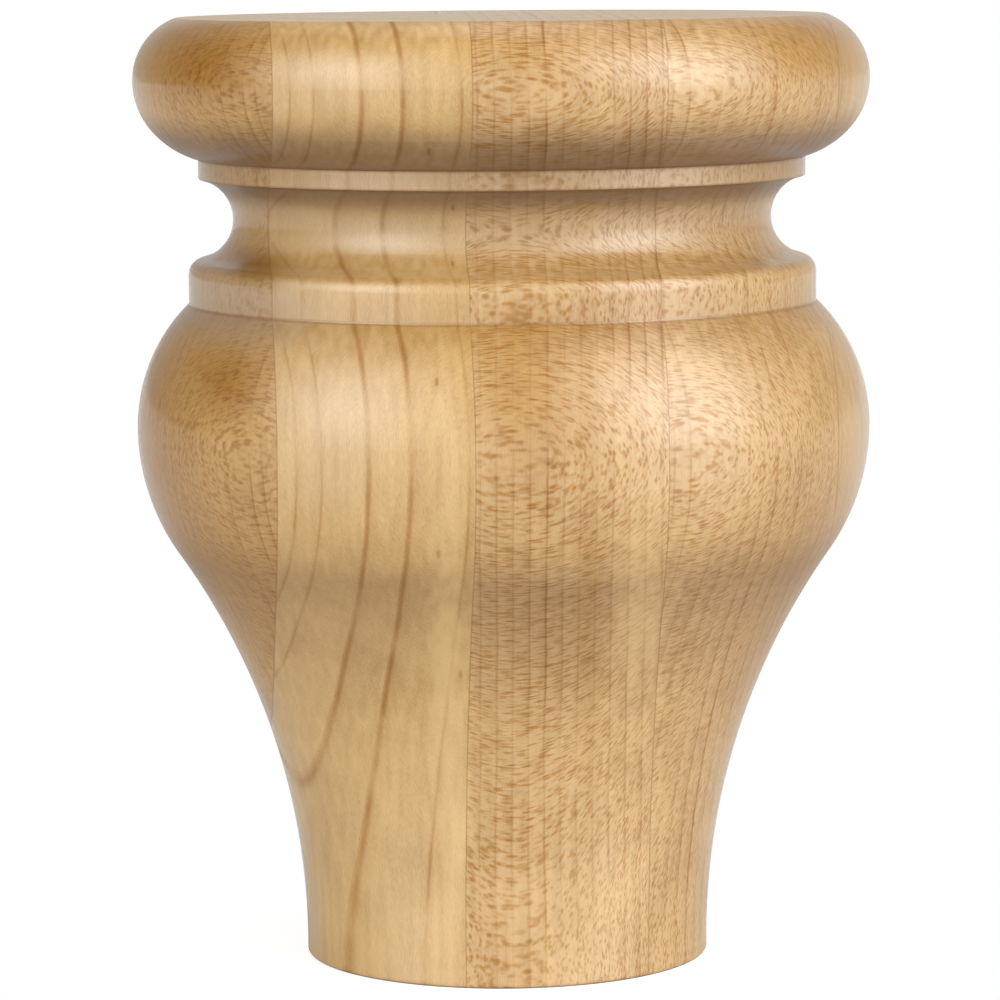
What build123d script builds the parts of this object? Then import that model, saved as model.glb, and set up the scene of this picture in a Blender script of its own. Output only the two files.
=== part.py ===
from build123d import *
from math import asin, atan2, degrees
import os

# Tulip bun foot: a short furniture foot, turned in one piece from a glued hardwood blank.
# Millimetres. The foot stands on the XY plane and was turned about the Z axis.

# Whole foot
height = 114.3

# Bead at the top, under the furniture
bead_diameter = 88.9
bead_height = 17.0
bead_widest_drop = 7.5
bead_under_radius = 9.2
bead_under_turn = 40.0
top_face_diameter = 78.4

# Fillet and cove below the bead
fillet_diameter = 73.4
fillet_height = 2.3
cove_diameter = 65.1
cove_height = 9.8

# Collar: a rounded shoulder over a straight band
collar_diameter = 76.0
shoulder_height = 1.7
band_height = 3.6

# Tulip: full below the collar and drawn in to a slender neck, narrowest just above the floor
bulge_diameter = 88.9
bulge_widest_drop = 15.0
bulge_under_radius = 26.4
neck_diameter = 49.1
neck_height = 1.4
floor_edge_radius = 0.5

# Radii of the section
bead_radius = bead_diameter / 2
top_face_radius = top_face_diameter / 2
fillet_radius = fillet_diameter / 2
cove_radius = cove_diameter / 2
collar_radius = collar_diameter / 2
bulge_radius = bulge_diameter / 2
neck_radius = neck_diameter / 2

# Heights above the floor, stacked from the top face down
bead_widest = height - bead_widest_drop
bead_foot = height - bead_height
fillet_foot = bead_foot - fillet_height
cove_foot = fillet_foot - cove_height
band_top = cove_foot - shoulder_height
collar_foot = band_top - band_height
bulge_widest = collar_foot - bulge_widest_drop

# The hollow of the neck is one arc that runs smoothly into the underside of the bulge. Its narrowest
# point and the bulge's widest one fix its radius, and the steepest lean where the two arcs meet.
neck_offset = neck_radius - (bulge_radius - bulge_under_radius)
neck_rise = bulge_widest - neck_height
neck_hollow_radius = (neck_offset**2 + neck_rise**2 - bulge_under_radius**2) / (
    2 * (bulge_under_radius - neck_offset)
)
lean = degrees(atan2(neck_rise, neck_hollow_radius + neck_offset))
flare = degrees(asin(neck_height / neck_hollow_radius))

os.makedirs("parts", exist_ok=True)

with BuildPart() as tulip_foot:
    with BuildSketch(Plane.XZ) as half_section:
        with BuildLine() as outline:
            # Tulip, from the floor up
            neck_hollow_center = (neck_radius + neck_hollow_radius, neck_height)
            neck = CenterArc(neck_hollow_center, neck_hollow_radius, 180 + flare, -flare - lean)
            floor = Line((0, 0), neck @ 0)
            under_bulge = JernArc(neck @ 1, neck % 1, radius=bulge_under_radius, arc_size=lean)
            over_bulge = TangentArc(under_bulge @ 1, (collar_radius, collar_foot), tangent=(0, 1))

            # Collar, cove and fillet
            band = Line(over_bulge @ 1, (collar_radius, band_top))
            shoulder = TangentArc(band @ 1, (fillet_radius, cove_foot), tangent=(0, 1))
            cove_middle = (cove_radius, cove_foot + cove_height / 2)
            cove = ThreePointArc(shoulder @ 1, cove_middle, (fillet_radius, fillet_foot))
            fillet_band = Line(cove @ 1, (fillet_radius, bead_foot))

            # Bead, from its widest point down to the fillet and up to the top face
            bead_edge = (bead_radius, bead_widest)
            under_bead = JernArc(
                bead_edge, (0, -1), radius=bead_under_radius, arc_size=-bead_under_turn
            )
            TangentArc(under_bead @ 1, fillet_band @ 1, tangent=under_bead % 1)
            over_bead = TangentArc(bead_edge, (top_face_radius, height), tangent=(0, 1))
            top = Line(over_bead @ 1, (0, height))
            Line(top @ 1, floor @ 0)
        make_face()
    revolve(axis=Axis.Z)

    # The sharp edge on the floor is just broken
    floor_face = tulip_foot.faces().sort_by(Axis.Z)[0]
    fillet(floor_face.edges(), radius=floor_edge_radius)

tulip_foot.part.label = "tulip_foot"
export_step(tulip_foot.part, "parts/tulip_foot.step")
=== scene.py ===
"""Looks of a tulip bun foot, turned from a glued blank of hard maple and finished clear.

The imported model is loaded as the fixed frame. The turned foot is made again over it as a fine mesh
with eased edges, and gets a solid maple material: growth rings and ray fleck run through the wood as
they do in real strips, so the figure follows from how the round surface cuts them.
Lengths in the classes are millimetres, and a name that ends in _m is in metres.
"""

import logging
import math
from dataclasses import dataclass
from enum import Enum

import bpy
from mathutils import Matrix, Vector


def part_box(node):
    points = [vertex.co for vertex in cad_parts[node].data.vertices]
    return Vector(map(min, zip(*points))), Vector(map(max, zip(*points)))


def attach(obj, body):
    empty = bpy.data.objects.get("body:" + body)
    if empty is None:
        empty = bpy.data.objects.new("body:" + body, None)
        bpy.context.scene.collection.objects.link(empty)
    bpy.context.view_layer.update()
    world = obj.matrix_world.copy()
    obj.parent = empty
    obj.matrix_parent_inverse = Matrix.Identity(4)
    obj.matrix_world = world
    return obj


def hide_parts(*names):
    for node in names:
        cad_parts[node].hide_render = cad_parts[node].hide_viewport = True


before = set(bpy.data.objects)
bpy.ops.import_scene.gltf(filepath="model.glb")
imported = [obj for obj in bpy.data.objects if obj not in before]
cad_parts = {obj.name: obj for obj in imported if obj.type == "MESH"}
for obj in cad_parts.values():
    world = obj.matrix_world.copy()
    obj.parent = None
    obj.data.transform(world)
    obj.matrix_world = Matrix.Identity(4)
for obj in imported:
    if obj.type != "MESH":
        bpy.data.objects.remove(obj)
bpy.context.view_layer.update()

Point = tuple[float, float]
Place = tuple[float, float, float]
Colour = tuple[float, float, float]

METRES_PER_MM = 0.001

log = logging.getLogger("tulip_foot")


class TurnedLine:
    """The line that the turner's tool follows, drawn as straight and round stretches.

    Points are (radius, height) pairs. Where two stretches meet at an angle, the corner is eased by a
    small curve, as sanding leaves it.
    """

    SHARP = math.radians(4)
    CORNER_STEPS = 4
    FEWEST_STRAIGHT_STEPS = 2
    FEWEST_ROUND_STEPS = 4
    HOLD_IN_EASES = 3
    LONGEST_HOLD = 0.3

    def __init__(self, start: Point, ease: float, step: float) -> None:
        """Starts the line.

        Args:
            start: The first point.
            ease: How far an eased corner reaches along each of its stretches.
            step: The longest distance between two points on a stretch.
        """
        self.ease = ease
        self.step = step
        self.pen = start
        self.heading = 0.0
        self.stretches: list[list[Point]] = []
        self.corner_eases: list[float] = []

    def line_to(self, end: Point, corner_ease: float | None = None) -> None:
        """Adds a straight stretch, with points close to its ends that hold the shading flat.

        Args:
            end: Where the stretch ends.
            corner_ease: How far the corner at its end is eased, if not as the others are.
        """
        start = self.pen
        length = math.dist(start, end)
        count = max(self.FEWEST_STRAIGHT_STEPS, round(length / self.step))
        hold = min(self.HOLD_IN_EASES * self.ease / length, self.LONGEST_HOLD)
        between = [i / count for i in range(1, count) if hold < i / count < 1 - hold]
        shares = [0.0, hold, *between, 1 - hold, 1.0]
        run, rise = end[0] - start[0], end[1] - start[1]
        self.stretches.append([(start[0] + run * s, start[1] + rise * s) for s in shares])
        self.corner_eases.append(corner_ease or self.ease)
        self.heading = math.atan2(rise, run)
        self.pen = end

    def turn(self, radius: float, angle: float) -> None:
        """Adds a round stretch that goes on from the last heading.

        Args:
            radius: The arc's radius.
            angle: How far it turns, in radians; a positive angle turns left.
        """
        side = math.copysign(1.0, angle)
        first = self.heading - side * math.pi / 2
        centre = (self.pen[0] - radius * math.cos(first), self.pen[1] - radius * math.sin(first))
        count = max(self.FEWEST_ROUND_STEPS, math.ceil(radius * abs(angle) / self.step))
        bearings = [first + angle * i / count for i in range(count + 1)]
        self.stretches.append(
            [(centre[0] + radius * math.cos(b), centre[1] + radius * math.sin(b)) for b in bearings]
        )
        self.corner_eases.append(self.ease)
        self.heading += angle
        self.pen = self.stretches[-1][-1]

    def arc_to(self, end: Point, heading: float) -> None:
        """Adds a round stretch that leaves along a heading and ends at a point.

        Args:
            end: Where the arc ends.
            heading: The direction in which it leaves, in radians.
        """
        self.heading = heading
        lean = math.remainder(bearing(self.pen, end) - heading, math.tau)
        self.turn(math.dist(self.pen, end) / (2 * abs(math.sin(lean))), 2 * lean)
        self.pen = end

    def points(self) -> list[Point]:
        """Joins the stretches and eases the corners between them.

        Returns:
            The whole line's points, in order.
        """
        joined = list(self.stretches[0])
        for after, ease in zip(self.stretches[1:], self.corner_eases):
            corner = after[0]
            kink = bearing(corner, after[1]) - bearing(joined[-2], corner)
            if abs(math.remainder(kink, math.tau)) < self.SHARP:
                joined += after[1:]
                continue
            near = along(joined[::-1], ease)
            far = along(after, ease)
            joined = [p for p in joined if math.dist(p, corner) > ease]
            shares = [i / self.CORNER_STEPS for i in range(self.CORNER_STEPS + 1)]
            joined += [bend(near, corner, far, share) for share in shares]
            joined += [p for p in after if math.dist(p, corner) > ease]
        return joined


def bearing(start: Point, end: Point) -> float:
    """Gives the direction from one point to another, in radians."""
    return math.atan2(end[1] - start[1], end[0] - start[0])


def along(stretch: list[Point], reach: float) -> Point:
    """Finds the point a given length along a stretch.

    Args:
        stretch: The stretch's points.
        reach: The length from its start.

    Returns:
        The point there.
    """
    left = reach
    for start, end in zip(stretch, stretch[1:]):
        span = math.dist(start, end)
        if span >= left:
            share = left / span
            return start[0] + (end[0] - start[0]) * share, start[1] + (end[1] - start[1]) * share
        left -= span
    return stretch[-1]


def bend(start: Point, corner: Point, end: Point, share: float) -> Point:
    """Gives a point on the curve that rounds a corner.

    Args:
        start: Where the curve leaves the first stretch.
        corner: The corner, which the curve leans towards.
        end: Where it meets the second stretch.
        share: How far along it the point is, from 0 to 1.

    Returns:
        The point.
    """
    a, b, c = (1 - share) ** 2, 2 * share * (1 - share), share**2
    return a * start[0] + b * corner[0] + c * end[0], a * start[1] + b * corner[1] + c * end[1]


class Cut(Enum):
    """How a strip's growth rings are drawn: regular fine rings, or the few broad ones of fast wood."""

    FINE_RINGS = "fine rings"
    NAMED_RINGS = "named rings"


@dataclass(frozen=True)
class Strip:
    """One strip of the glued blank.

    Attributes:
        start: Where it starts, along the blank's width; the first strip starts outside the foot.
        ring_bearing: The bearing of its rays, in degrees from +X, which its rings stand across.
        ring_spacing: The distance between its growth rings.
        ring_depth: How dark its ring lines are.
        fleck_depth: How dark its ray fleck is.
        fleck_size: How big its ray fleck is, against the others'.
        ply: A number that sets its pattern apart from its neighbours'.
        cut: How its rings are drawn.
        pale: The colour of its lightest wood.
    """

    start: float
    ring_bearing: float
    ring_spacing: float
    ring_depth: float
    fleck_depth: float
    fleck_size: float
    ply: float
    cut: Cut
    pale: Colour


@dataclass(frozen=True)
class SoftPatch:
    """A soft patch on the front, for amber colour, paler streaks, painted shade and painted sheen.

    Attributes:
        x: How far right of the axis its middle is.
        z: How high its middle is.
        half_width: How far it reaches to the sides.
        half_height: How far it reaches up and down.
        depth: How strong it is in the middle.
    """

    x: float
    z: float
    half_width: float
    half_height: float
    depth: float


@dataclass(frozen=True)
class Figure:
    """Noise at the size of one kind of figure in the wood.

    Attributes:
        size: How far one bump reaches along the first level distance, the second one, and upwards.
        detail: How many finer layers it has.
        roughness: How strong the finer layers are.
    """

    size: Place
    detail: float = 0.0
    roughness: float = 0.5


@dataclass(frozen=True)
class ClearFinish:
    """The clear lacquer over the wood, and the bare wood's own gloss under it.

    Attributes:
        roughness: The lacquer's roughness.
        ior: Its index of refraction.
        wood_roughness: The roughness of the wood.
        wood_ior: The wood's index of refraction.
        wood_gloss: How strong the wood's own gloss is.
        grain_height: How far the fibres stand up, in millimetres.
        grain_strength: How strongly they show.
    """

    roughness: float = 0.16
    ior: float = 1.55
    wood_roughness: float = 0.48
    wood_ior: float = 1.45
    wood_gloss: float = 0.2
    grain_height: float = 0.02
    grain_strength: float = 0.3


class Signal:
    """A number that changes over the surface: a shader socket on which arithmetic adds Math nodes."""

    def __init__(self, graph: "ShaderGraph", socket: bpy.types.NodeSocket) -> None:
        """Wraps a socket.

        Args:
            graph: The graph that the socket is in.
            socket: The output socket.
        """
        self.graph = graph
        self.socket = socket

    def __add__(self, other: "Signal | float") -> "Signal":
        """Gives self + other."""
        return self.graph.maths("ADD", self, other)

    def __radd__(self, other: float) -> "Signal":
        """Gives other + self."""
        return self.graph.maths("ADD", other, self)

    def __sub__(self, other: "Signal | float") -> "Signal":
        """Gives self - other."""
        return self.graph.maths("SUBTRACT", self, other)

    def __rsub__(self, other: float) -> "Signal":
        """Gives other - self."""
        return self.graph.maths("SUBTRACT", other, self)

    def __mul__(self, other: "Signal | float") -> "Signal":
        """Gives self * other."""
        return self.graph.maths("MULTIPLY", self, other)

    def __rmul__(self, other: float) -> "Signal":
        """Gives other * self."""
        return self.graph.maths("MULTIPLY", other, self)

    def __truediv__(self, other: "Signal | float") -> "Signal":
        """Gives self / other."""
        return self.graph.maths("DIVIDE", self, other)

    def __pow__(self, other: float) -> "Signal":
        """Gives self to a power."""
        return self.graph.maths("POWER", self, other)

    def __abs__(self) -> "Signal":
        """Gives the size of self without its sign."""
        return self.graph.maths("ABSOLUTE", self)

    def above(self, edge: float) -> "Signal":
        """Gives 1 where self is more than edge, and 0 elsewhere."""
        return self.graph.maths("GREATER_THAN", self, edge)

    def whole(self) -> "Signal":
        """Gives self rounded down."""
        return self.graph.maths("FLOOR", self)

    def part(self) -> "Signal":
        """Gives what is left of self when it is rounded down."""
        return self.graph.maths("FRACT", self)

    def ramp(self, low: float, high: float) -> "Signal":
        """Gives a smooth step from 0 at low to 1 at high.

        Args:
            low: Where the step starts.
            high: Where it ends.

        Returns:
            The step.
        """
        return self.graph.node(
            "ShaderNodeMapRange",
            {"interpolation_type": "SMOOTHSTEP"},
            {"Value": self, "From Min": low, "From Max": high},
        )


class ShaderGraph:
    """A material's or the world's node tree, filled from Python expressions."""

    def __init__(self, tree: bpy.types.NodeTree) -> None:
        """Empties a tree and takes it over.

        Args:
            tree: The node tree.
        """
        self.tree = tree
        self.tree.nodes.clear()

    def node(self, kind: str, settings: dict, sockets: dict, output: int | str = 0) -> Signal:
        """Adds one node.

        Args:
            kind: Its Blender type.
            settings: Its own settings, which are set first.
            sockets: The value or the link of each input, by name or number.
            output: Which output is wanted.

        Returns:
            That output.
        """
        made = self.tree.nodes.new(kind)
        for name, value in settings.items():
            setattr(made, name, value)
        for key, value in sockets.items():
            if isinstance(value, Signal):
                self.tree.links.new(value.socket, made.inputs[key])
            else:
                made.inputs[key].default_value = value
        return Signal(self, made.outputs[output]) if len(made.outputs) else Signal(self, made.inputs[0])

    def maths(self, operation: str, *values: "Signal | float") -> Signal:
        """Adds a Math node.

        Args:
            operation: Its operation.
            values: Its inputs, in order.

        Returns:
            Its result.
        """
        return self.node("ShaderNodeMath", {"operation": operation}, dict(enumerate(values)))

    def vector(self, x: Signal | float, y: Signal | float, z: Signal | float) -> Signal:
        """Joins three numbers into a vector."""
        return self.node("ShaderNodeCombineXYZ", {}, {0: x, 1: y, 2: z})

    def noise(self, place: Signal, detail: float = 1.0, roughness: float = 0.5) -> Signal:
        """Adds smooth noise of about one bump a unit.

        Args:
            place: Where it is read.
            detail: How many finer layers it has.
            roughness: How strong the finer layers are.

        Returns:
            The noise, about 0.5.
        """
        sockets = {"Vector": place, "Scale": 1.0, "Detail": detail, "Roughness": roughness}
        return self.node("ShaderNodeTexNoise", {"noise_dimensions": "3D"}, sockets)

    def vector_maths(self, operation: str, sockets: dict, output: int | str = 0) -> Signal:
        """Adds a Vector Math node.

        Args:
            operation: Its operation.
            sockets: The value or the link of each input, by name or number.
            output: Which output is wanted.

        Returns:
            That output.
        """
        return self.node("ShaderNodeVectorMath", {"operation": operation}, sockets, output)

    def axis(self, vector: Signal, number: int) -> Signal:
        """Gives one of a vector's three numbers."""
        return self.node("ShaderNodeSeparateXYZ", {}, {0: vector}, number)

    def chance(self, number: Signal) -> Signal:
        """Gives an unordered value from 0 to 1 for each number."""
        return self.node("ShaderNodeTexWhiteNoise", {"noise_dimensions": "1D"}, {"W": number})

    def blend(
        self, share: Signal | float, first: Signal | Colour, second: Signal | Colour, how: str = "MIX"
    ) -> Signal:
        """Mixes two colours.

        Args:
            share: How much of the second colour is taken.
            first: The first colour.
            second: The second colour.
            how: The blend type.

        Returns:
            The mixed colour.
        """
        colours = [c if isinstance(c, Signal) else (*c, 1.0) for c in (first, second)]
        settings = {"data_type": "RGBA", "blend_type": how}
        return self.node("ShaderNodeMix", settings, {0: share, 6: colours[0], 7: colours[1]}, 2)


class GluedMaple:
    """Maple strips glued side by side, with their rings, ray fleck, fibres, glue lines, crease lines and
    amber patches, and painted shade and sheen, under lacquer.
    """

    STRIPS = (
        Strip(-60.0, -41.0, 1.9, 0.55, 0.90, 0.85, 3.1, Cut.FINE_RINGS, (0.405, 0.244, 0.080)),
        Strip(-28.9, 14.0, 3.0, 0.00, 0.26, 0.65, 11.7, Cut.NAMED_RINGS, (0.462, 0.302, 0.122)),
        Strip(-6.93, 1.5, 1.9, 0.75, 1.00, 0.95, 23.9, Cut.FINE_RINGS, (0.456, 0.299, 0.136)),
        Strip(15.3, 27.0, 2.1, 0.70, 0.95, 0.85, 37.3, Cut.FINE_RINGS, (0.458, 0.302, 0.136)),
        Strip(37.5, 22.0, 2.1, 0.55, 0.60, 0.75, 51.9, Cut.FINE_RINGS, (0.445, 0.288, 0.120)),
    )
    SEAM_BEARING = 4.9
    SEAM_WIDTH = 0.12
    BROAD_RINGS = (
        (-37.9, 0.50),
        (-35.5, 0.55),
        (-30.5, 1.00),
        (-26.0, 1.05),
        (-19.6, 0.65),
        (-13.3, 0.80),
        (-7.2, 0.60),
        (0.4, 0.90),
        (6.8, 0.70),
        (12.3, 0.80),
        (19.1, 0.60),
    )
    RING_LEAN = 0.523
    RING_BOW = 0.00393
    TRUNK_LEAN = -0.012
    TRUNK_BOW = 0.000127
    RAY = (0.65, 0.435, 0.06)
    RING_LINE = (0.56, 0.36, 0.06)
    GRAIN = (0.50, 0.38, 0.20)
    # Painted shade: a blue-grey darkening of faces that turn downwards.
    STEEP_SHADE = (0.56, 0.54, 0.67)
    # Painted shade: an amber darkening of faces that tilt upwards, most on the bead's top slope.
    SLANT_SHADE = (0.82, 0.70, 0.40)
    AMBER = (0.67, 0.50, 0.07)
    # The grey of the painted shade and sheen in the recesses.
    POLISH = (0.27, 0.23, 0.19)
    PALE_WOOD = (0.62, 0.45, 0.22)
    END_GRAIN = (0.51, 0.44, 0.35)
    BARK = (0.14, 0.052, 0.004)
    AMBER_STAINS_AND_SHADE = (
        # Amber patches of the wood, with painted shade where the foot is dimly lit.
        SoftPatch(-31.8, 72.8, 5.6, 4.3, 0.85),
        SoftPatch(-34.5, 109.2, 7.5, 5.0, 0.95),
        SoftPatch(2.8, 71.5, 6.5, 10.0, 0.55),
        SoftPatch(3.0, 109.4, 7.0, 3.2, 0.36),
        SoftPatch(35.5, 110.9, 8.0, 4.0, 0.60),
        SoftPatch(-29.0, 85.6, 4.6, 2.4, 0.95),
        # Painted shade: the band in the cove under the bead, the bands under the bulge and the patches
        # towards the sides.
        SoftPatch(0.0, 91.0, 70.0, 3.0, 0.28),
        SoftPatch(0.0, 50.5, 70.0, 11.0, 0.10),
        SoftPatch(39.0, 49.0, 11.0, 15.0, 0.34),
        SoftPatch(-39.0, 50.0, 9.0, 14.0, 0.32),
        SoftPatch(-44.0, 66.0, 9.0, 18.0, 0.50),
        SoftPatch(31.0, 30.0, 6.0, 16.0, 0.35),
        # The amber of one ring band in the wood.
        SoftPatch(9.6, 55.0, 1.5, 55.0, 0.24),
    )
    PALE_STREAKS = (
        SoftPatch(15.6, 45.0, 4.0, 16.0, 0.30),
        SoftPatch(7.0, 10.0, 9.0, 13.0, 0.20),
        SoftPatch(-6.5, 32.0, 2.4, 34.0, 0.30),
    )
    # Painted shade and sheen: grey patches in the cove and on the left collar.
    SHADE_AND_SHEEN_PATCHES = (
        SoftPatch(-31.0, 81.5, 10.0, 6.0, 0.42),
        SoftPatch(0.0, 92.5, 90.0, 7.0, 0.22),
    )
    SPECKS = (
        (-7.5, 73.8, 0.32),
        (-7.5, 54.2, 0.34),
        (-5.2, 39.0, 0.36),
        (-8.2, 99.7, 0.34),
        (-5.6, 93.0, 0.26),
        (-5.7, 86.6, 0.22),
    )

    WANDER = Figure((18.0, 18.0, 30.0), 3.0, 0.45)
    FIBRE = Figure((0.14, 0.14, 1.2))
    STREAK = Figure((0.8, 1.4, 22.0))
    CLOUD = Figure((11.0, 11.0, 9.0), 1.0)
    RING_WANDER = 1.3
    FLECK_WANDER = 0.7
    BROAD_WANDER = 0.9

    FAINTEST_YEAR = 0.2
    LATE_WOOD = (0.76, 0.92)
    YEAR_END = (0.92, 1.0)
    YEAR_TONE = (0.1, 0.9)
    LATE_SHARE = 0.75
    BEFORE_RING = 0.4
    LEAST_DEPTH = 0.01
    BROAD_HALF_WIDTH = 0.46
    BROAD_DEPTH = 0.24
    BROAD_FADE = (0.1, 1.8)
    BROAD_FADE_DEPTH = 0.14

    BROAD_RAYS = (0.42, 7.2, 0.95)
    FINE_RAYS = (0.46, 6.6, 0.95)
    FINE_RAYS_SHIFT = (0.0, 31.0, 0.0)
    FINE_RAYS_NOISE = (1.0, 0.6)
    FINE_RAYS_EDGE = (0.46, 0.74)
    FINE_RAYS_DEPTH = 0.85
    RAY_FRAY = 0.25
    RAY_EDGE = (0.12, 0.53)
    RAY_DEPTHS = (-0.2, 0.9)

    # Where the ring lines fade as a painted highlight: the upward lean of the highlight's faces, and how
    # far round it.
    UPWARD_OF_HIGHLIGHT = 0.2
    FAINT_LINES = (0.05, 0.4)
    FAINT_LINE_DEPTH = 0.4
    FACING_GAIN = 0.8
    CLOUDED_LINES = (-0.2, 0.1)
    SPECK_DEPTH = 0.75
    SPECK_SQUASH = 0.5
    SPECK_CORE = 0.8
    SPECK_HALO = 6.0

    GRAIN_BY_FIBRE = 0.40
    GRAIN_BY_STREAK = 0.40
    GRAIN_BY_CLOUD = 0.55
    GRAIN_SHARE = 0.20
    # How far down a face turns before its painted shade starts and where it is full.
    STEEP = (0.3, 0.8)
    # The upward tilt over which the painted shade of slanted faces comes in, and over which it goes
    # again.
    SLANT_START = (0.42, 0.75)
    SLANT_END = (0.86, 0.97)
    SLANT_SHARE = 0.85
    PATCH_FADE = (1.35, 0.1)
    EDGE_BY_CLOUD = 0.75
    EDGE_BY_STREAK = 0.5
    FRONT = (-10.0, 14.0)

    SEAM_CORE = 0.3
    SEAM_DEPTH = 0.40
    # Each crease gets a thin dark line of pooled finish and, round it, a wide band of painted shade.
    CREASE_EDGE = (0.05, 0.35)
    CREASE_HALO = 5.0
    CREASE_SHADE_DEPTH = 0.45
    CREASE_DEPTH = 0.36
    END_DEPTH = 0.02
    END_PORES = (-0.15, 0.25)
    END_PORE_DEPTH = 0.5
    END_LINE_DEPTH = 0.25
    END_SHARE = 0.85

    # Faces turned this far down lose their lacquer's gloss, as painted shade.
    UNDERSIDE = (0.1, 0.7)
    DULL_LINES = 0.9
    DULL_FLECK = 0.35
    UNDERSIDE_GLOSS_SHADE = 0.8
    DULL_ENDS = 0.84
    FLECK_SMOOTHER = -0.08
    ENDS_ROUGHER = 0.4

    def __init__(self, finish: ClearFinish, height: float, creases: tuple[float, ...]) -> None:
        """Starts the material, and lays out the strips and the noise that their figure is made of.

        Args:
            finish: The lacquer.
            height: The height of the foot, at which its top shows end grain.
            creases: The heights of the turned creases, in which the finish pools and round which shade is
                painted.
        """
        self.finish = finish
        self.height = height
        self.creases = creases
        self.material = bpy.data.materials.new("clear_finished_maple")
        self.material.use_nodes = True
        self.graph = ShaderGraph(self.material.node_tree)
        place = self.graph.node("ShaderNodeTexCoord", {}, {}, "Object")
        millimetres = self.graph.vector_maths("SCALE", {0: place, "Scale": 1 / METRES_PER_MM})
        self.x, self.y, self.z = (self.graph.axis(millimetres, number) for number in range(3))
        self.upward = self.graph.axis(self.graph.node("ShaderNodeNewGeometry", {}, {}, "Normal"), 2)
        self.downward = self.upward * -1.0

        turned = math.radians(self.SEAM_BEARING)
        self.width = self.x * math.cos(turned) + self.y * math.sin(turned)
        self.past_seam = [self.width.above(strip.start) for strip in self.STRIPS[1:]]
        bearings = [math.radians(strip.ring_bearing) for strip in self.STRIPS]
        cosine = self.by_strip([math.cos(b) for b in bearings])
        sine = self.by_strip([math.sin(b) for b in bearings])
        self.outward = self.x * cosine + self.y * sine
        self.across = self.y * cosine - self.x * sine

        self.ply = self.by_strip([strip.ply for strip in self.STRIPS])
        self.wander = self.read(self.WANDER, self.outward, self.across, self.ply)
        self.fibre = self.read(self.FIBRE, self.x, self.y, 0.0)
        self.streak = self.read(self.STREAK, self.outward, self.across, self.ply)
        self.cloud = self.read(self.CLOUD, self.x, self.y, self.ply)
        self.edge = self.cloud * self.EDGE_BY_CLOUD + self.streak * self.EDGE_BY_STREAK
        self.front = 1 - self.y.ramp(*self.FRONT)

    def by_strip(self, values: list[float]) -> Signal:
        """Gives each strip its own number.

        Args:
            values: The numbers, from left to right.

        Returns:
            The number of the strip that the point is in.
        """
        total: Signal | float = values[0]
        for past, before, after in zip(self.past_seam, values, values[1:]):
            total = self.graph.maths("MULTIPLY_ADD", past, after - before, total)
        return total

    def strip_colour(self, colours: list[Colour]) -> Signal:
        """Gives each strip its own colour.

        Args:
            colours: The colours, from left to right.

        Returns:
            The colour of the strip that the point is in.
        """
        shown: Signal | Colour = colours[0]
        for past, colour in zip(self.past_seam, colours[1:]):
            shown = self.graph.blend(past, shown, colour)
        return shown

    def read(self, figure: Figure, first: Signal, second: Signal, ply: Signal | float) -> Signal:
        """Reads one kind of noise in the wood.

        Args:
            figure: Its size and detail.
            first: The first level distance.
            second: The second level distance.
            ply: What sets it apart from strip to strip.

        Returns:
            The noise, about 0.
        """
        first_size, second_size, rise = figure.size
        place = self.graph.vector(first / first_size, second / second_size, self.z / rise + ply)
        return self.graph.noise(place, figure.detail, figure.roughness) - 0.5

    def dress(self) -> bpy.types.Material:
        """Builds the node tree.

        Returns:
            The finished material.
        """
        graph = self.graph
        fleck = self.ray_fleck()
        shown_fleck = fleck * self.by_strip([strip.fleck_depth for strip in self.STRIPS])
        fine_line = self.fine_ring_line()
        lines = self.dark_lines(fine_line)
        top = self.z.above(self.height - self.END_DEPTH)
        ends = graph.maths("MAXIMUM", top, 1 - self.z.above(self.END_DEPTH))

        wood = self.stain_and_shade(self.cut_wood(lines, shown_fleck))
        seams = self.seam_lines() * self.SEAM_DEPTH
        # Glue lines, crease lines and the painted shade round the creases, in dark brown.
        joints_creases_and_shade = graph.maths("MAXIMUM", seams, self.crease_lines_and_shade() * self.CREASE_DEPTH)
        wood = graph.blend(joints_creases_and_shade, wood, self.BARK)
        pores = self.fibre.ramp(*self.END_PORES) * self.END_PORE_DEPTH + fine_line * self.END_LINE_DEPTH
        wood = graph.blend(ends * self.END_SHARE, wood, graph.blend(pores, self.END_GRAIN, self.BARK))

        grain = {
            "Strength": self.finish.grain_strength,
            "Distance": self.finish.grain_height * METRES_PER_MM,
            "Height": self.fibre,
        }
        rough = self.finish.wood_roughness + fleck * self.FLECK_SMOOTHER + ends * self.ENDS_ROUGHER
        surface = {
            "Base Color": wood,
            "Roughness": rough,
            "IOR": self.finish.wood_ior,
            "Specular IOR Level": self.finish.wood_gloss,
            "Coat Weight": 1.0 - self.dullness(lines, shown_fleck, ends),
            "Coat Roughness": self.finish.roughness,
            "Coat IOR": self.finish.ior,
            "Normal": graph.node("ShaderNodeBump", {}, grain),
        }
        shader = graph.node("ShaderNodeBsdfPrincipled", {}, surface)
        graph.node("ShaderNodeOutputMaterial", {}, {"Surface": shader})
        return self.material

    def dark_lines(self, fine_line: Signal) -> Signal:
        """Puts each strip's ring lines together, with the pips among them.

        Args:
            fine_line: How dark the fine ring lines are.

        Returns:
            How dark the lines are, fainter in light clouds and, as a painted highlight, where the surface
            is nearly upright.
        """
        ring_depth = self.by_strip([strip.ring_depth for strip in self.STRIPS])
        named = self.by_strip([1.0 if strip.cut is Cut.NAMED_RINGS else 0.0 for strip in self.STRIPS])
        lines = fine_line * ring_depth + self.broad_ring_lines() * named
        faint = self.FAINT_LINE_DEPTH
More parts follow.
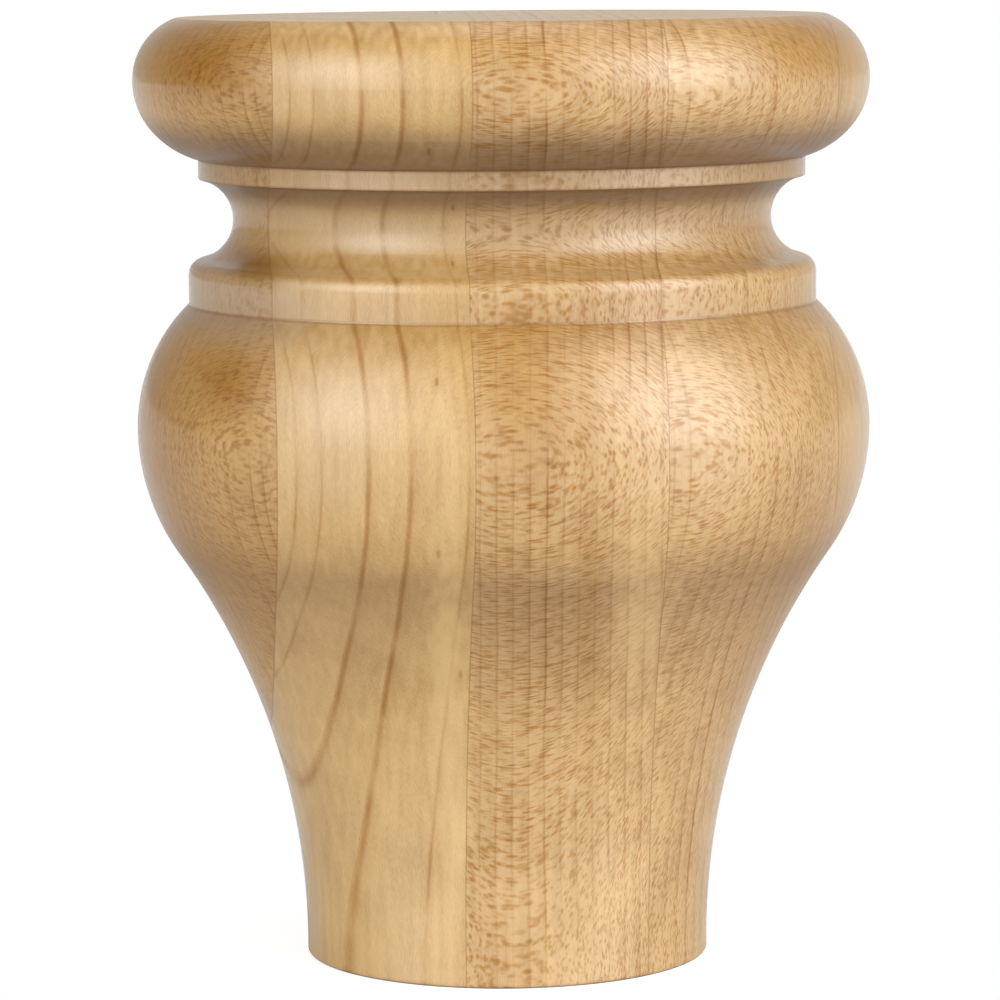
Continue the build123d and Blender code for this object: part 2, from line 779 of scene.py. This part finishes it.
        # Painted highlight: the lines fade where the surface is nearly upright and the lamps' highlight
        # falls.
        facing = abs(self.upward - self.UPWARD_OF_HIGHLIGHT).ramp(*self.FAINT_LINES)
        lines = lines * (facing * self.FACING_GAIN + faint)
        lines = lines * (self.cloud.ramp(*self.CLOUDED_LINES) * (1 - faint) + faint)
        return lines + self.specks() * self.SPECK_DEPTH

    def cut_wood(self, lines: Signal, fleck: Signal) -> Signal:
        """Colours the wood from its lightest tone, by its figure, with painted shade on faces that tilt
        up or turn down.

        Args:
            lines: How dark the ring lines are.
            fleck: How dark the ray fleck is.

        Returns:
            The colour.
        """
        grain = self.fibre * self.GRAIN_BY_FIBRE + self.streak * self.GRAIN_BY_STREAK
        grain = grain + self.cloud * self.GRAIN_BY_CLOUD + self.GRAIN_SHARE
        # Faces that tilt upwards, which get painted shade.
        slanted = self.upward.ramp(*self.SLANT_START) * (1 - self.upward.ramp(*self.SLANT_END))
        layers = (
            (grain, self.GRAIN),
            (lines, self.RING_LINE),
            (fleck, self.RAY),
            # Painted shade on faces that turn downwards.
            (self.downward.ramp(*self.STEEP), self.STEEP_SHADE),
            (slanted * (self.streak + 0.5) * self.SLANT_SHARE, self.SLANT_SHADE),
        )
        wood = self.strip_colour([strip.pale for strip in self.STRIPS])
        for share, colour in layers:
            wood = self.graph.blend(share, wood, colour, "MULTIPLY")
        return wood

    def stain_and_shade(self, wood: Signal) -> Signal:
        """Lays the soft patches of the front over the wood: paler streaks, grey patches of painted shade
        and sheen, and amber patches with painted shade among them.

        Args:
            wood: The wood's colour.

        Returns:
            The colour with the patches.
        """
        wood = self.graph.blend(self.patches(self.PALE_STREAKS), wood, self.PALE_WOOD)
        # Grey patches of painted shade and sheen.
        wood = self.graph.blend(self.patches(self.SHADE_AND_SHEEN_PATCHES), wood, self.POLISH)
        # Amber patches of the wood, with painted shade among them.
        return self.graph.blend(self.patches(self.AMBER_STAINS_AND_SHADE), wood, self.AMBER, "MULTIPLY")

    def dullness(self, lines: Signal, fleck: Signal, ends: Signal) -> Signal:
        """Finds where the lacquer is thin, and takes its gloss off downward-facing faces as painted
        shade.

        Args:
            lines: How dark the ring lines are.
            fleck: How dark the ray fleck is.
            ends: Where the end grain is.

        Returns:
            How much of the lacquer is missing.
        """
        dull = self.graph.maths("MAXIMUM", lines * self.DULL_LINES, fleck * self.DULL_FLECK)
        # Painted shade: the lacquer's gloss is taken off faces that turn downwards.
        underside = self.downward.ramp(*self.UNDERSIDE)
        dull = self.graph.maths("MAXIMUM", dull, underside * self.UNDERSIDE_GLOSS_SHADE)
        return self.graph.maths("MAXIMUM", dull, ends * self.DULL_ENDS)

    def ray_fleck(self) -> Signal:
        """Draws the rays: thin upright sheets of cells that lie along the ring bearing.

        Returns:
            How much of a ray the point is in.
        """
        graph = self.graph
        size = self.by_strip([strip.fleck_size for strip in self.STRIPS])
        place = graph.vector(self.outward, self.across + self.wander * self.FLECK_WANDER, self.z)
        place = graph.vector_maths("SCALE", {0: place, "Scale": size**-1})
        broad = graph.vector_maths("MULTIPLY", {0: place, 1: self.BROAD_RAYS})
        fine = graph.vector_maths("MULTIPLY_ADD", {0: place, 1: self.FINE_RAYS, 2: self.FINE_RAYS_SHIFT})
        weave = graph.noise(fine, *self.FINE_RAYS_NOISE).ramp(*self.FINE_RAYS_EDGE)
        return graph.maths("MAXIMUM", self.lens(broad), weave * self.FINE_RAYS_DEPTH)

    def lens(self, place: Signal) -> Signal:
        """Draws unordered lens shapes, about one a unit, each as dark as chance makes it.

        Args:
            place: Where they are read.

        Returns:
            How much of one the point is in.
        """
        cells = {"Vector": place, "Scale": 1.0}
        middle = self.graph.node("ShaderNodeTexVoronoi", {"voronoi_dimensions": "3D"}, cells, "Distance")
        own = Signal(self.graph, middle.socket.node.outputs["Color"])
        depth = self.graph.node("ShaderNodeSeparateColor", {}, {0: own}).ramp(*self.RAY_DEPTHS)
        return (1 - (middle + self.fibre * self.RAY_FRAY).ramp(*self.RAY_EDGE)) * depth

    def fine_ring_line(self) -> Signal:
        """Draws the thin dark end of each year's growth.

        Returns:
            How dark the line is.
        """
        spacing = self.by_strip([strip.ring_spacing for strip in self.STRIPS])
        rings = (self.outward + self.wander * self.RING_WANDER) / spacing + self.ply
        year = self.graph.chance(rings.whole()) * (1 - self.FAINTEST_YEAR) + self.FAINTEST_YEAR
        late = rings.part()
        line = late.ramp(*self.LATE_WOOD) * (1 - late.ramp(*self.YEAR_END)) * self.LATE_SHARE
        return (line + late.ramp(*self.YEAR_TONE) * (1 - self.LATE_SHARE)) * year

    def broad_ring_lines(self) -> Signal:
        """Draws the few brown rings of the strip of fast wood, bowed as they are in the trunk.

        Returns:
            How dark the lines are.
        """
        outward = self.x + self.y * (self.y * self.RING_BOW + self.RING_LEAN)
        outward = outward + self.z * (self.z * self.TRUNK_BOW + self.TRUNK_LEAN)
        outward = outward + self.wander * self.BROAD_WANDER
        last: Signal | float = 0.0
        depth: Signal | float = 0.0
        place, strength = 0.0, 0.0
        for ring, ring_strength in self.BROAD_RINGS:
            past = outward.above(ring - self.BEFORE_RING)
            last = self.graph.maths("MULTIPLY_ADD", past, ring - place, last)
            depth = self.graph.maths("MULTIPLY_ADD", past, ring_strength - strength, depth)
            place, strength = ring, ring_strength
        since = outward - last
        off = abs(since) / (depth + self.LEAST_DEPTH)
        line = (1 - off.ramp(0.0, self.BROAD_HALF_WIDTH)) * (depth * self.BROAD_DEPTH + self.BROAD_DEPTH)
        return line + (1 - since.ramp(*self.BROAD_FADE)) * self.BROAD_FADE_DEPTH * depth

    def seam_lines(self) -> Signal:
        """Draws the glue lines between the strips.

        Returns:
            How dark they are here.
        """
        total: Signal | float = 0.0
        for strip in self.STRIPS[1:]:
            off = abs(self.width - strip.start)
            total = (1 - off.ramp(self.SEAM_WIDTH * self.SEAM_CORE, self.SEAM_WIDTH)) + total
        return total

    def patches(self, stains: tuple[SoftPatch, ...]) -> Signal:
        """Draws soft patches with broken edges on the front.

        Args:
            stains: The patches.

        Returns:
            How strong they are here.
        """
        graph = self.graph
        flat = graph.vector(self.x, self.z, 0.0)
        total: Signal | float = 0.0
        for stain_and_shade in stains:
            scale = (1 / stain_and_shade.half_width, 1 / stain_and_shade.half_height, 0.0)
            shift = (-stain_and_shade.x / stain_and_shade.half_width, -stain_and_shade.z / stain_and_shade.half_height, 0.0)
            place = graph.vector_maths("MULTIPLY_ADD", {0: flat, 1: scale, 2: shift})
            off = graph.vector_maths("LENGTH", {0: place}, "Value") + self.edge
            total = graph.maths("MULTIPLY_ADD", off.ramp(*self.PATCH_FADE), stain_and_shade.depth, total)
        return total * self.front

    def specks(self) -> Signal:
        """Draws the small dark pips of bird's-eye in the front.

        Returns:
            How dark they are here.
        """
        total: Signal | float = 0.0
        for x, z, size in self.SPECKS:
            off = ((self.x - x) ** 2 + ((self.z - z) * self.SPECK_SQUASH) ** 2) / size**2
            halo = (1 - off.ramp(0.0, self.SPECK_HALO)) * (1 - self.SPECK_CORE)
            total = (1 - off.ramp(0.0, 1.0)) * self.SPECK_CORE + halo + total
        return total * (1 - self.y.above(0.0))

    def crease_lines_and_shade(self) -> Signal:
        """Darkens the turned creases: a thin dark line where finish and dust stay, and a wide soft band
        of painted shade round it.

        Returns:
            How dark they are here.
        """
        total: Signal | float = 0.0
        for height in self.creases:
            off = abs(self.z - height)
            # A wide soft band of painted shade round the crease.
            halo = (1 - off.ramp(0.0, self.CREASE_HALO)) * self.CREASE_SHADE_DEPTH
            total = (1 - off.ramp(*self.CREASE_EDGE)) + halo + total
        return total


@dataclass
class TurnedFoot:
    """The turned foot: its section's sizes, its lathe and its finish."""

    height: float
    bulge_diameter: float
    bead_height: float = 17.0
    bead_widest_drop: float = 7.5
    bead_under_radius: float = 9.2
    bead_under_turn: float = 40.0
    top_face_diameter: float = 78.4
    fillet_diameter: float = 73.4
    fillet_height: float = 2.3
    cove_diameter: float = 65.1
    cove_height: float = 9.8
    collar_diameter: float = 76.0
    shoulder_height: float = 1.7
    band_height: float = 3.6
    bulge_widest_drop: float = 15.0
    bulge_under_radius: float = 26.4
    neck_diameter: float = 49.1
    neck_height: float = 1.4
    floor_edge: float = 0.5
    corner_ease: float = 0.16
    step: float = 0.9
    facets_round: int = 256
    join_distance_m: float = 1e-6

    def __post_init__(self) -> None:
        """Works out the heights of the turned details, from the top down."""
        self.bead_widest = self.height - self.bead_widest_drop
        self.bead_foot = self.height - self.bead_height
        self.fillet_foot = self.bead_foot - self.fillet_height
        self.cove_foot = self.fillet_foot - self.cove_height
        self.band_top = self.cove_foot - self.shoulder_height
        self.collar_foot = self.band_top - self.band_height
        self.bulge_widest = self.collar_foot - self.bulge_widest_drop

    def section(self) -> list[Point]:
        """Draws the turned line, from the middle of the floor to the middle of the top.

        Returns:
            Its points, as (radius, height) pairs.
        """
        up = math.pi / 2
        fillet, collar = self.fillet_diameter / 2, self.collar_diameter / 2
        bulge, neck = self.bulge_diameter / 2, self.neck_diameter / 2
        under = self.bulge_under_radius
        offset = neck - (bulge - under)
        rise = self.bulge_widest - self.neck_height
        hollow = (offset**2 + rise**2 - under**2) / (2 * (under - offset))
        lean = math.atan2(rise, hollow + offset)
        flare = math.asin(self.neck_height / hollow)

        line = TurnedLine((0.0, 0.0), self.corner_ease, self.step)
        line.line_to((neck + hollow * (1 - math.cos(flare)), 0.0), self.floor_edge)
        line.heading = up + flare
        line.turn(hollow, -flare - lean)
        line.turn(under, lean)
        line.arc_to((collar, self.collar_foot), up)
        line.line_to((collar, self.band_top))
        line.arc_to((fillet, self.cove_foot), up)
        cove_turn = 2 * math.atan2(self.fillet_diameter - self.cove_diameter, self.cove_height)
        line.arc_to((fillet, self.fillet_foot), up + cove_turn)
        line.line_to((fillet, self.bead_foot))
        self.add_bead(line)
        line.line_to((0.0, self.height))
        return line.points()

    def add_bead(self, line: TurnedLine) -> None:
        """Draws the bead's round underside, its widest part and its shoulder.

        Args:
            line: The line so far, which ends at the bead's foot.
        """
        up = math.pi / 2
        bead = self.bulge_diameter / 2
        under = math.radians(self.bead_under_turn)
        tuck = (
            bead - self.bead_under_radius * (1 - math.cos(under)),
            self.bead_widest - self.bead_under_radius * math.sin(under),
        )
        line.arc_to(tuck, 2 * bearing(line.pen, tuck) - (up - under))
        line.heading = up - under
        line.turn(self.bead_under_radius, under)
        line.arc_to((self.top_face_diameter / 2, self.height), up)

    def build(self) -> bpy.types.Object:
        """Turns the section into the foot.

        Returns:
            The foot as a plain mesh object, dressed in its finish.
        """
        creases = (self.bead_foot, self.fillet_foot, self.collar_foot)
        finish = GluedMaple(ClearFinish(), self.height, creases).dress()
        points = self.section()
        blank = bpy.data.meshes.new("turned_section")
        corners = [(radius * METRES_PER_MM, 0.0, rise * METRES_PER_MM) for radius, rise in points]
        blank.from_pydata(corners, [(i, i + 1) for i in range(len(points) - 1)], [])
        foot = bpy.data.objects.new("turned_maple_foot", blank)
        bpy.context.scene.collection.objects.link(foot)
        return turn_on_lathe(foot, lathe_tree(), {
            "Facets Round": self.facets_round,
            "Join Distance": self.join_distance_m,
            "Finish": finish,
        })


def lathe_tree() -> bpy.types.NodeTree:
    """Builds the lathe: Geometry Nodes that carry a section round the Z axis.

    Returns:
        The node tree, whose inputs are the section, the facets, the join distance and the finish.
    """
    tree = bpy.data.node_groups.new("lathe", "GeometryNodeTree")
    tree.interface.new_socket("Geometry", in_out="INPUT", socket_type="NodeSocketGeometry")
    facets = tree.interface.new_socket("Facets Round", in_out="INPUT", socket_type="NodeSocketInt")
    facets.min_value = 3
    tree.interface.new_socket("Join Distance", in_out="INPUT", socket_type="NodeSocketFloat")
    tree.interface.new_socket("Finish", in_out="INPUT", socket_type="NodeSocketMaterial")
    tree.interface.new_socket("Geometry", in_out="OUTPUT", socket_type="NodeSocketGeometry")

    def add(kind: str, settings: dict, sockets: dict) -> bpy.types.Node:
        """Adds one node.

        Args:
            kind: Its Blender type.
            settings: Its own settings.
            sockets: The value or the link of each input, by name or number.

        Returns:
            The node.
        """
        made = tree.nodes.new(kind)
        for name, value in settings.items():
            setattr(made, name, value)
        for key, value in sockets.items():
            if isinstance(value, bpy.types.NodeSocket):
                tree.links.new(value, made.inputs[key])
            else:
                made.inputs[key].default_value = value
        return made

    def maths(operation: str, first: object, second: object) -> bpy.types.NodeSocket:
        """Gives the result of a Math node."""
        return add("ShaderNodeMath", {"operation": operation}, {0: first, 1: second}).outputs[0]

    def whole(operation: str, first: object, second: object) -> bpy.types.NodeSocket:
        """Gives the result of an Integer Math node."""
        sockets = {0: first, 1: second}
        return add("FunctionNodeIntegerMath", {"operation": operation}, sockets).outputs[0]

    asked = add("NodeGroupInput", {}, {}).outputs
    counted = add("GeometryNodeAttributeDomainSize", {}, {0: asked["Geometry"]})
    section_count = counted.outputs["Point Count"]
    columns = whole("ADD", asked["Facets Round"], 1)
    grid = add("GeometryNodeMeshGrid", {}, {"Vertices X": columns, "Vertices Y": section_count})
    index = add("GeometryNodeInputIndex", {}, {}).outputs[0]
    column = whole("DIVIDE_FLOOR", index, section_count)
    row = whole("MODULO", index, section_count)
    place = add("GeometryNodeInputPosition", {}, {}).outputs[0]
    sampled = add(
        "GeometryNodeSampleIndex",
        {"data_type": "FLOAT_VECTOR", "domain": "POINT"},
        {"Geometry": asked["Geometry"], "Value": place, "Index": row},
    ).outputs[0]
    split = add("ShaderNodeSeparateXYZ", {}, {0: sampled}).outputs
    angle = maths("DIVIDE", maths("MULTIPLY", column, math.tau), asked["Facets Round"])
    cosine = add("ShaderNodeMath", {"operation": "COSINE"}, {0: angle}).outputs[0]
    sine = add("ShaderNodeMath", {"operation": "SINE"}, {0: angle}).outputs[0]
    turned = add(
        "ShaderNodeCombineXYZ",
        {},
        {0: maths("MULTIPLY", split[0], cosine), 1: maths("MULTIPLY", split[0], sine), 2: split[2]},
    ).outputs[0]
    bent = {"Geometry": grid.outputs["Mesh"], "Position": turned}
    placed = add("GeometryNodeSetPosition", {}, bent).outputs[0]
    closed = add(
        "GeometryNodeMergeByDistance", {}, {"Geometry": placed, "Distance": asked["Join Distance"]}
    ).outputs[0]
    smooth = add("GeometryNodeSetShadeSmooth", {}, {"Geometry": closed, "Shade Smooth": True}).outputs[0]
    real = add("GeometryNodeRealizeInstances", {}, {"Geometry": smooth}).outputs[0]
    dressed = add("GeometryNodeSetMaterial", {}, {"Geometry": real, "Material": asked["Finish"]})
    add("NodeGroupOutput", {}, {0: dressed.outputs[0]})
    return tree


def turn_on_lathe(
    piece: bpy.types.Object, tree: bpy.types.NodeTree, choices: dict[str, object]
) -> bpy.types.Object:
    """Runs a Geometry Nodes tree on a piece and keeps the result as its plain mesh.

    Args:
        piece: The object that holds the section.
        tree: The tree.
        choices: The value of each named input.

    Returns:
        The same object, with the turned mesh and no modifier.
    """
    modifier = piece.modifiers.new("lathe", "NODES")
    modifier.node_group = tree
    inputs = {s.name: s.identifier for s in tree.interface.items_tree if s.in_out == "INPUT"}
    for name, value in choices.items():
        modifier[inputs[name]] = value
    evaluated = piece.evaluated_get(bpy.context.evaluated_depsgraph_get())
    mesh = bpy.data.meshes.new_from_object(evaluated)
    piece.modifiers.remove(modifier)
    section = piece.data
    piece.data = mesh
    mesh.name = piece.name
    bpy.data.meshes.remove(section)
    return piece


@dataclass(frozen=True)
class SoftLamp:
    """A lamp behind the tent's cloth: a soft bright spot, placed as seen from the foot.

    Attributes:
        azimuth: Degrees to the right of the camera's side.
        elevation: Degrees above the floor.
        spread: How far it reaches, in degrees.
        brightness: How bright its middle is.
    """

    azimuth: float
    elevation: float
    spread: float
    brightness: float

    def aim(self) -> Place:
        """Gives the direction of its middle from the foot."""
        turned, raised = math.radians(self.azimuth), math.radians(self.elevation)
        return math.sin(turned) * math.cos(raised), -math.cos(turned) * math.cos(raised), math.sin(raised)


class Studio:
    """A light tent with soft lamps, a pale floor and the camera."""

    LAMPS = (
        SoftLamp(-54.0, 27.0, 24.5, 4.3),
        SoftLamp(-46.0, -1.0, 24.0, 1.9),
        SoftLamp(57.0, 32.0, 26.0, 4.8),
        SoftLamp(60.0, 0.0, 25.0, 3.6),
        SoftLamp(0.0, 2.0, 24.0, 1.4),
        SoftLamp(95.0, 60.0, 18.0, 1.0),
        SoftLamp(180.0, 74.0, 20.0, 1.5),
        SoftLamp(170.0, 4.0, 40.0, 0.5),
    )
    CLOTH = 0.12
    WHITE = (1.0, 1.0, 1.0, 1.0)
    FLOOR_SIZE_M = 30.0
    FLOOR_GREY = (0.68, 0.68, 0.68, 1.0)
    FLOOR_SHEEN_ROUGHNESS = 0.35
    FLOOR_SHEEN_POWER = 1.5
    FLOOR_SHEEN = 0.6
    FLOOR_LEAST_SHEEN = 0.08
    PAPER_GREY = (0.5, 0.5, 0.5, 1.0)
    PAPER_GLOW = 0.65
    PAPER_EDGE_M = (0.028, 0.045)
    CAMERA_PLACE_M = (0.0, -0.5790, 0.12377)
    LENS = 171.96
    SENSOR = 36.0
    YAW = 0.050
    PITCH = 6.733
    ROLL = 0.430
    CLIP_M = (0.01, 100.0)

    def build(self) -> None:
        """Sets up the light, the floor, the camera and the plain view transform."""
        self.hang_tent()
        self.lay_floor()
        self.place_camera()
        bpy.context.scene.view_settings.view_transform = "Standard"
        bpy.context.scene.view_settings.look = "None"

    def hang_tent(self) -> None:
        """Makes the world a cloth tent with soft lamps behind it."""
        world = bpy.data.worlds.new("light_tent")
        world.use_nodes = True
        bpy.context.scene.world = world
        graph = ShaderGraph(world.node_tree)
        aim = graph.node("ShaderNodeTexCoord", {}, {}, "Generated")
        total: Signal | float = self.CLOTH
        for lamp in self.LAMPS:
            facing = graph.vector_maths("DOT_PRODUCT", {0: aim, 1: lamp.aim()}, "Value")
            fall = 2 / math.radians(lamp.spread) ** 2
            total = graph.maths("EXPONENT", facing * fall - fall) * lamp.brightness + total
        tent = graph.node("ShaderNodeBackground", {}, {"Color": self.WHITE, "Strength": total})
        backdrop = graph.node("ShaderNodeBackground", {}, {"Color": self.WHITE, "Strength": 1.0})
        seen = graph.node("ShaderNodeLightPath", {}, {}, "Is Camera Ray")
        both = graph.node("ShaderNodeMixShader", {}, {0: seen, 1: tent, 2: backdrop})
        graph.node("ShaderNodeOutputWorld", {}, {"Surface": both})

    def lay_floor(self) -> None:
        """Lays the plain pale floor, which is no part of the foot."""
        half = self.FLOOR_SIZE_M / 2
        mesh = bpy.data.meshes.new("studio_floor")
        corners = [(-half, -half, 0.0), (half, -half, 0.0), (half, half, 0.0), (-half, half, 0.0)]
        mesh.from_pydata(corners, [], [(0, 1, 2, 3)])
        material = bpy.data.materials.new("pale_floor")
        material.use_nodes = True
        graph = ShaderGraph(material.node_tree)
        seen = graph.node("ShaderNodeLightPath", {}, {}, "Is Camera Ray")
        place = graph.node("ShaderNodeTexCoord", {}, {}, "Object")
        away = graph.vector_maths("LENGTH", {0: place}, "Value")
        paper = graph.node("ShaderNodeBsdfDiffuse", {}, {"Color": self.PAPER_GREY})
        glow = graph.node("ShaderNodeEmission", {}, {"Color": self.WHITE, "Strength": self.PAPER_GLOW})
        paper = graph.node("ShaderNodeAddShader", {}, {0: paper, 1: glow})
        white = graph.node("ShaderNodeEmission", {}, {"Color": self.WHITE, "Strength": 1.0})
        near_to_far = {0: away.ramp(*self.PAPER_EDGE_M), 1: paper, 2: white}
        paper = graph.node("ShaderNodeMixShader", {}, near_to_far)
        matt = graph.node("ShaderNodeBsdfDiffuse", {}, {"Color": self.FLOOR_GREY})
        gloss = {"Color": self.WHITE, "Roughness": self.FLOOR_SHEEN_ROUGHNESS}
        sheen = graph.node("ShaderNodeBsdfAnisotropic", {}, gloss)
        grazing = graph.node("ShaderNodeLayerWeight", {}, {}, "Facing") ** self.FLOOR_SHEEN_POWER
        share = grazing * self.FLOOR_SHEEN + self.FLOOR_LEAST_SHEEN
        table = graph.node("ShaderNodeMixShader", {}, {0: share, 1: matt, 2: sheen})
        shown = graph.node("ShaderNodeMixShader", {}, {0: seen, 1: table, 2: paper})
        graph.node("ShaderNodeOutputMaterial", {}, {"Surface": shown})
        mesh.materials.append(material)
        floor = bpy.data.objects.new("studio_floor", mesh)
        bpy.context.scene.collection.objects.link(floor)

    def place_camera(self) -> None:
        """Puts the camera where the photograph was taken from."""
        lens = bpy.data.cameras.new("photo_camera")
        lens.lens = self.LENS
        lens.sensor_width = self.SENSOR
        lens.clip_start, lens.clip_end = self.CLIP_M
        lens.dof.use_dof = False
        camera = bpy.data.objects.new("photo_camera", lens)
        bpy.context.scene.collection.objects.link(camera)
        yaw = Matrix.Rotation(math.radians(self.YAW), 4, "Z")
        pitch = Matrix.Rotation(math.radians(90.0 - self.PITCH), 4, "X")
        roll = Matrix.Rotation(math.radians(-self.ROLL), 4, "Z")
        camera.matrix_world = Matrix.Translation(Vector(self.CAMERA_PLACE_M)) @ yaw @ pitch @ roll
        bpy.context.scene.camera = camera


def main() -> None:
    """Builds the studio and the foot, in order, and keeps their size."""
    logging.basicConfig(level=logging.INFO, format="%(name)s: %(message)s")
    Studio().build()
    log.info("studio: light tent, floor and camera in place")

    low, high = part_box("tulip_foot")
    height = (high.z - low.z) / METRES_PER_MM
    bulge = (high.x - low.x) / METRES_PER_MM
    foot = TurnedFoot(height=height, bulge_diameter=bulge).build()
    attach(foot, "root")
    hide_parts("tulip_foot")
    log.info("%s: %d faces, replaces tulip_foot", foot.name, len(foot.data.polygons))


if __name__ == "__main__":
    main()
